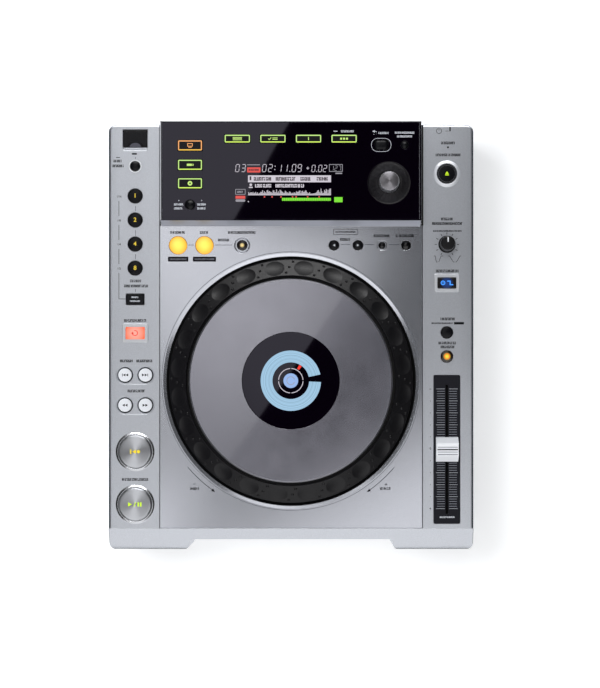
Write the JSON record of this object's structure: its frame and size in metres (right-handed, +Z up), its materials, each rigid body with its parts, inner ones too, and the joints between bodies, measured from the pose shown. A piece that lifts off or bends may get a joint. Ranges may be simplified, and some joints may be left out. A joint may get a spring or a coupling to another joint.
{
  "type": "tabletop disc player",
  "caption": "Flat-top slot-in disc player for mixing, with a large turning jog wheel, a raised display block, a sliding tempo fader, knobs and push buttons.",
  "frame": {"origin": "on the table, under the middle of the case in plan", "axes": "+Z up, +Y towards the rear jacks and the display, +X to the player's right, where the tempo fader is"},
  "size_m": [0.305, 0.3556, 0.107],
  "materials": {
    "silver_case": "fine metallic silver paint on moulded plastic",
    "silver_deck": "metallic silver paint, satin",
    "black_window": "deep gloss black acrylic",
    "black_panel": "fine matt black",
    "steel_sheet": "zinc plated sheet steel",
    "steel_shaft": "turned steel",
    "rubber": "matt moulded rubber",
    "jack_plastic": "moulded jack bodies",
    "black_key": "satin to gloss black keys",
    "white_key": "satin pale keys",
    "metal_key": "turned aluminium",
    "yellow_lit_key": "translucent, lit yellow from below",
    "red_lit_key": "translucent, lit red from below",
    "black_knob": "turned black knob",
    "white_cap": "satin white cap",
    "jog_black": "satin black moulding",
    "jog_metal": "grey metal under a clear gloss layer",
    "die_cast": "die-cast sled",
    "circuit_board": "green laminate with black parts",
    "screen_glass": "dark screen glass"
  },
  "bodies": {
    "root": {"upper_case": "silver_case", "centre_panel": "silver_deck", "display_window": "black_window", "front_bezel": "silver_case", "fader_plate": "black_panel", "base_chassis": "steel_sheet", "rubber_feet": "rubber", "case_screws": "steel_sheet", "rear_jacks": "jack_plastic", "jog_post": "steel_sheet", "jog_display": "black_window", "drive_chassis": "steel_sheet", "circuit_boards": "circuit_board", "power_supply": "circuit_board", "screen_module": "screen_glass"},
    "usb_stop_button": {"usb_stop_button": "black_key"},
    "beat_button_1": {"beat_button_1": "black_key"},
    "beat_button_2": {"beat_button_2": "black_key"},
    "beat_button_4": {"beat_button_4": "black_key"},
    "beat_button_8": {"beat_button_8": "black_key"},
    "beat_select_button": {"beat_select_button": "black_key"},
    "direction_button": {"direction_button": "red_lit_key"},
    "track_back_button": {"track_back_button": "white_key"},
    "track_forward_button": {"track_forward_button": "white_key"},
    "search_back_button": {"search_back_button": "white_key"},
    "search_forward_button": {"search_forward_button": "white_key"},
    "cue_button": {"cue_button": "metal_key"},
    "play_button": {"play_button": "metal_key"},
    "pc_button": {"pc_button": "black_key"},
    "usb_button": {"usb_button": "black_key"},
    "disc_button": {"disc_button": "black_key"},
    "time_mode_button": {"time_mode_button": "black_key"},
    "browse_button": {"browse_button": "black_key"},
    "tag_list_button": {"tag_list_button": "black_key"},
    "info_button": {"info_button": "black_key"},
    "menu_button": {"menu_button": "black_key"},
    "back_button": {"back_button": "black_key"},
    "tag_track_button": {"tag_track_button": "black_key"},
    "loop_in_button": {"loop_in_button": "yellow_lit_key"},
    "loop_out_button": {"loop_out_button": "yellow_lit_key"},
    "reloop_button": {"reloop_button": "black_key"},
    "call_back_button": {"call_back_button": "black_key"},
    "call_forward_button": {"call_forward_button": "black_key"},
    "delete_button": {"delete_button": "black_key"},
    "memory_button": {"memory_button": "black_key"},
    "eject_button": {"eject_button": "black_key"},
    "jog_mode_button": {"jog_mode_button": "black_key"},
    "tempo_range_button": {"tempo_range_button": "black_key"},
    "master_tempo_button": {"master_tempo_button": "black_key"},
    "power_button": {"power_button": "black_key"},
    "usb_lid": {"usb_lid": "black_key"},
    "selector_shaft": {"selector_shaft": "steel_shaft"},
    "selector_knob": {"selector_knob": "black_knob"},
    "vinyl_speed_knob": {"vinyl_speed_knob": "black_knob"},
    "tempo_fader_cap": {"tempo_fader_cap": "white_cap"},
    "jog_ring": {"jog_ring": "jog_black"},
    "jog_top_plate": {"jog_top_plate": "jog_metal"},
    "loading_roller": {"loading_roller": "rubber"},
    "disc_turntable": {"disc_turntable": "black_knob"},
    "optical_pickup": {"optical_pickup": "die_cast"}
  },
  "joints": [
    {"name": "usb_stop_press", "type": "slide", "parent": "root", "child": "usb_stop_button", "axis": [0, 0, -1], "range_m": [0, 0.0008], "stiffness_N_per_m": 500, "springref_m": -0.001},
    {"name": "beat_press_1", "type": "slide", "parent": "root", "child": "beat_button_1", "axis": [0, 0, -1], "range_m": [0, 0.0008], "stiffness_N_per_m": 500, "springref_m": -0.001},
    {"name": "beat_press_2", "type": "slide", "parent": "root", "child": "beat_button_2", "axis": [0, 0, -1], "range_m": [0, 0.0008], "stiffness_N_per_m": 500, "springref_m": -0.001},
    {"name": "beat_press_4", "type": "slide", "parent": "root", "child": "beat_button_4", "axis": [0, 0, -1], "range_m": [0, 0.0008], "stiffness_N_per_m": 500, "springref_m": -0.001},
    {"name": "beat_press_8", "type": "slide", "parent": "root", "child": "beat_button_8", "axis": [0, 0, -1], "range_m": [0, 0.0008], "stiffness_N_per_m": 500, "springref_m": -0.001},
    {"name": "beat_select_press", "type": "slide", "parent": "root", "child": "beat_select_button", "axis": [0, 0, -1], "range_m": [0, 0.0008], "stiffness_N_per_m": 500, "springref_m": -0.001},
    {"name": "direction_press", "type": "slide", "parent": "root", "child": "direction_button", "axis": [0, 0, -1], "range_m": [0, 0.0008], "stiffness_N_per_m": 500, "springref_m": -0.001},
    {"name": "track_back_press", "type": "slide", "parent": "root", "child": "track_back_button", "axis": [0, 0, -1], "range_m": [0, 0.0008], "stiffness_N_per_m": 500, "springref_m": -0.001},
    {"name": "track_forward_press", "type": "slide", "parent": "root", "child": "track_forward_button", "axis": [0, 0, -1], "range_m": [0, 0.0008], "stiffness_N_per_m": 500, "springref_m": -0.001},
    {"name": "search_back_press", "type": "slide", "parent": "root", "child": "search_back_button", "axis": [0, 0, -1], "range_m": [0, 0.0008], "stiffness_N_per_m": 500, "springref_m": -0.001},
    {"name": "search_forward_press", "type": "slide", "parent": "root", "child": "search_forward_button", "axis": [0, 0, -1], "range_m": [0, 0.0008], "stiffness_N_per_m": 500, "springref_m": -0.001},
    {"name": "cue_press", "type": "slide", "parent": "root", "child": "cue_button", "axis": [0, 0, -1], "range_m": [0, 0.0008], "stiffness_N_per_m": 500, "springref_m": -0.001},
    {"name": "play_press", "type": "slide", "parent": "root", "child": "play_button", "axis": [0, 0, -1], "range_m": [0, 0.0008], "stiffness_N_per_m": 500, "springref_m": -0.001},
    {"name": "pc_press", "type": "slide", "parent": "root", "child": "pc_button", "axis": [0, 0, -1], "range_m": [0, 0.0008], "stiffness_N_per_m": 500, "springref_m": -0.001},
    {"name": "usb_press", "type": "slide", "parent": "root", "child": "usb_button", "axis": [0, 0, -1], "range_m": [0, 0.0008], "stiffness_N_per_m": 500, "springref_m": -0.001},
    {"name": "disc_press", "type": "slide", "parent": "root", "child": "disc_button", "axis": [0, 0, -1], "range_m": [0, 0.0008], "stiffness_N_per_m": 500, "springref_m": -0.001},
    {"name": "time_mode_press", "type": "slide", "parent": "root", "child": "time_mode_button", "axis": [0, 0, -1], "range_m": [0, 0.0008], "stiffness_N_per_m": 500, "springref_m": -0.001},
    {"name": "browse_press", "type": "slide", "parent": "root", "child": "browse_button", "axis": [0, 0, -1], "range_m": [0, 0.0008], "stiffness_N_per_m": 500, "springref_m": -0.001},
    {"name": "tag_list_press", "type": "slide", "parent": "root", "child": "tag_list_button", "axis": [0, 0, -1], "range_m": [0, 0.0008], "stiffness_N_per_m": 500, "springref_m": -0.001},
    {"name": "info_press", "type": "slide", "parent": "root", "child": "info_button", "axis": [0, 0, -1], "range_m": [0, 0.0008], "stiffness_N_per_m": 500, "springref_m": -0.001},
    {"name": "menu_press", "type": "slide", "parent": "root", "child": "menu_button", "axis": [0, 0, -1], "range_m": [0, 0.0008], "stiffness_N_per_m": 500, "springref_m": -0.001},
    {"name": "back_press", "type": "slide", "parent": "root", "child": "back_button", "axis": [0, 0, -1], "range_m": [0, 0.0008], "stiffness_N_per_m": 500, "springref_m": -0.001},
    {"name": "tag_track_press", "type": "slide", "parent": "root", "child": "tag_track_button", "axis": [0, 0, -1], "range_m": [0, 0.0008], "stiffness_N_per_m": 500, "springref_m": -0.001},
    {"name": "loop_in_press", "type": "slide", "parent": "root", "child": "loop_in_button", "axis": [0, 0, -1], "range_m": [0, 0.0008], "stiffness_N_per_m": 500, "springref_m": -0.001},
    {"name": "loop_out_press", "type": "slide", "parent": "root", "child": "loop_out_button", "axis": [0, 0, -1], "range_m": [0, 0.0008], "stiffness_N_per_m": 500, "springref_m": -0.001},
    {"name": "reloop_press", "type": "slide", "parent": "root", "child": "reloop_button", "axis": [0, 0, -1], "range_m": [0, 0.0008], "stiffness_N_per_m": 500, "springref_m": -0.001},
    {"name": "call_back_press", "type": "slide", "parent": "root", "child": "call_back_button", "axis": [0, 0, -1], "range_m": [0, 0.0008], "stiffness_N_per_m": 500, "springref_m": -0.001},
    {"name": "call_forward_press", "type": "slide", "parent": "root", "child": "call_forward_button", "axis": [0, 0, -1], "range_m": [0, 0.0008], "stiffness_N_per_m": 500, "springref_m": -0.001},
    {"name": "delete_press", "type": "slide", "parent": "root", "child": "delete_button", "axis": [0, 0, -1], "range_m": [0, 0.0008], "stiffness_N_per_m": 500, "springref_m": -0.001},
    {"name": "memory_press", "type": "slide", "parent": "root", "child": "memory_button", "axis": [0, 0, -1], "range_m": [0, 0.0008], "stiffness_N_per_m": 500, "springref_m": -0.001},
    {"name": "eject_press", "type": "slide", "parent": "root", "child": "eject_button", "axis": [0, 0, -1], "range_m": [0, 0.0008], "stiffness_N_per_m": 500, "springref_m": -0.001},
    {"name": "jog_mode_press", "type": "slide", "parent": "root", "child": "jog_mode_button", "axis": [0, 0, -1], "range_m": [0, 0.0008], "stiffness_N_per_m": 500, "springref_m": -0.001},
    {"name": "tempo_range_press", "type": "slide", "parent": "root", "child": "tempo_range_button", "axis": [0, 0, -1], "range_m": [0, 0.0008], "stiffness_N_per_m": 500, "springref_m": -0.001},
    {"name": "master_tempo_press", "type": "slide", "parent": "root", "child": "master_tempo_button", "axis": [0, 0, -1], "range_m": [0, 0.0008], "stiffness_N_per_m": 500, "springref_m": -0.001},
    {"name": "power_press", "type": "slide", "parent": "root", "child": "power_button", "axis": [0, -1, 0], "range_m": [0, 0.0008], "stiffness_N_per_m": 500, "springref_m": -0.001},
    {"name": "usb_lid_hinge", "type": "hinge", "parent": "root", "child": "usb_lid", "pos_m": [-0.1302, 0.17195, 0.0783], "axis": [-1, 0, 0], "range_deg": [0, 95]},
    {"name": "selector_push", "type": "slide", "parent": "root", "child": "selector_shaft", "axis": [0, 0, -1], "range_m": [0, 0.0005], "stiffness_N_per_m": 500, "springref_m": -0.001},
    {"name": "selector_turn", "type": "hinge", "parent": "selector_shaft", "child": "selector_knob", "pos_m": [0.0812, 0.12685, 0.094], "axis": [0, 0, 1], "continuous": true},
    {"name": "vinyl_speed_turn", "type": "hinge", "parent": "root", "child": "vinyl_speed_knob", "pos_m": [0.1302, 0.07745, 0.085], "axis": [0, 0, 1], "range_deg": [-150, 150]},
    {"name": "tempo_fader_slide", "type": "slide", "parent": "root", "child": "tempo_fader_cap", "axis": [0, 1, 0], "range_m": [-0.05, 0.05]},
    {"name": "jog_turn", "type": "hinge", "parent": "root", "child": "jog_ring", "pos_m": [0, -0.03665, 0.08], "axis": [0, 0, 1], "continuous": true},
    {"name": "jog_plate_press", "type": "slide", "parent": "jog_ring", "child": "jog_top_plate", "axis": [0, 0, -1], "range_m": [0, 0.0005], "stiffness_N_per_m": 5000, "springref_m": -0.001},
    {"name": "roller_turn", "type": "hinge", "parent": "root", "child": "loading_roller", "pos_m": [0, -0.15675, 0.0355], "axis": [1, 0, 0], "continuous": true},
    {"name": "turntable_turn", "type": "hinge", "parent": "root", "child": "disc_turntable", "pos_m": [0, -0.08775, 0.036], "axis": [0, 0, 1], "continuous": true},
    {"name": "pickup_slide", "type": "slide", "parent": "root", "child": "optical_pickup", "axis": [0, 1, 0], "range_m": [0, 0.03]}
  ]
}
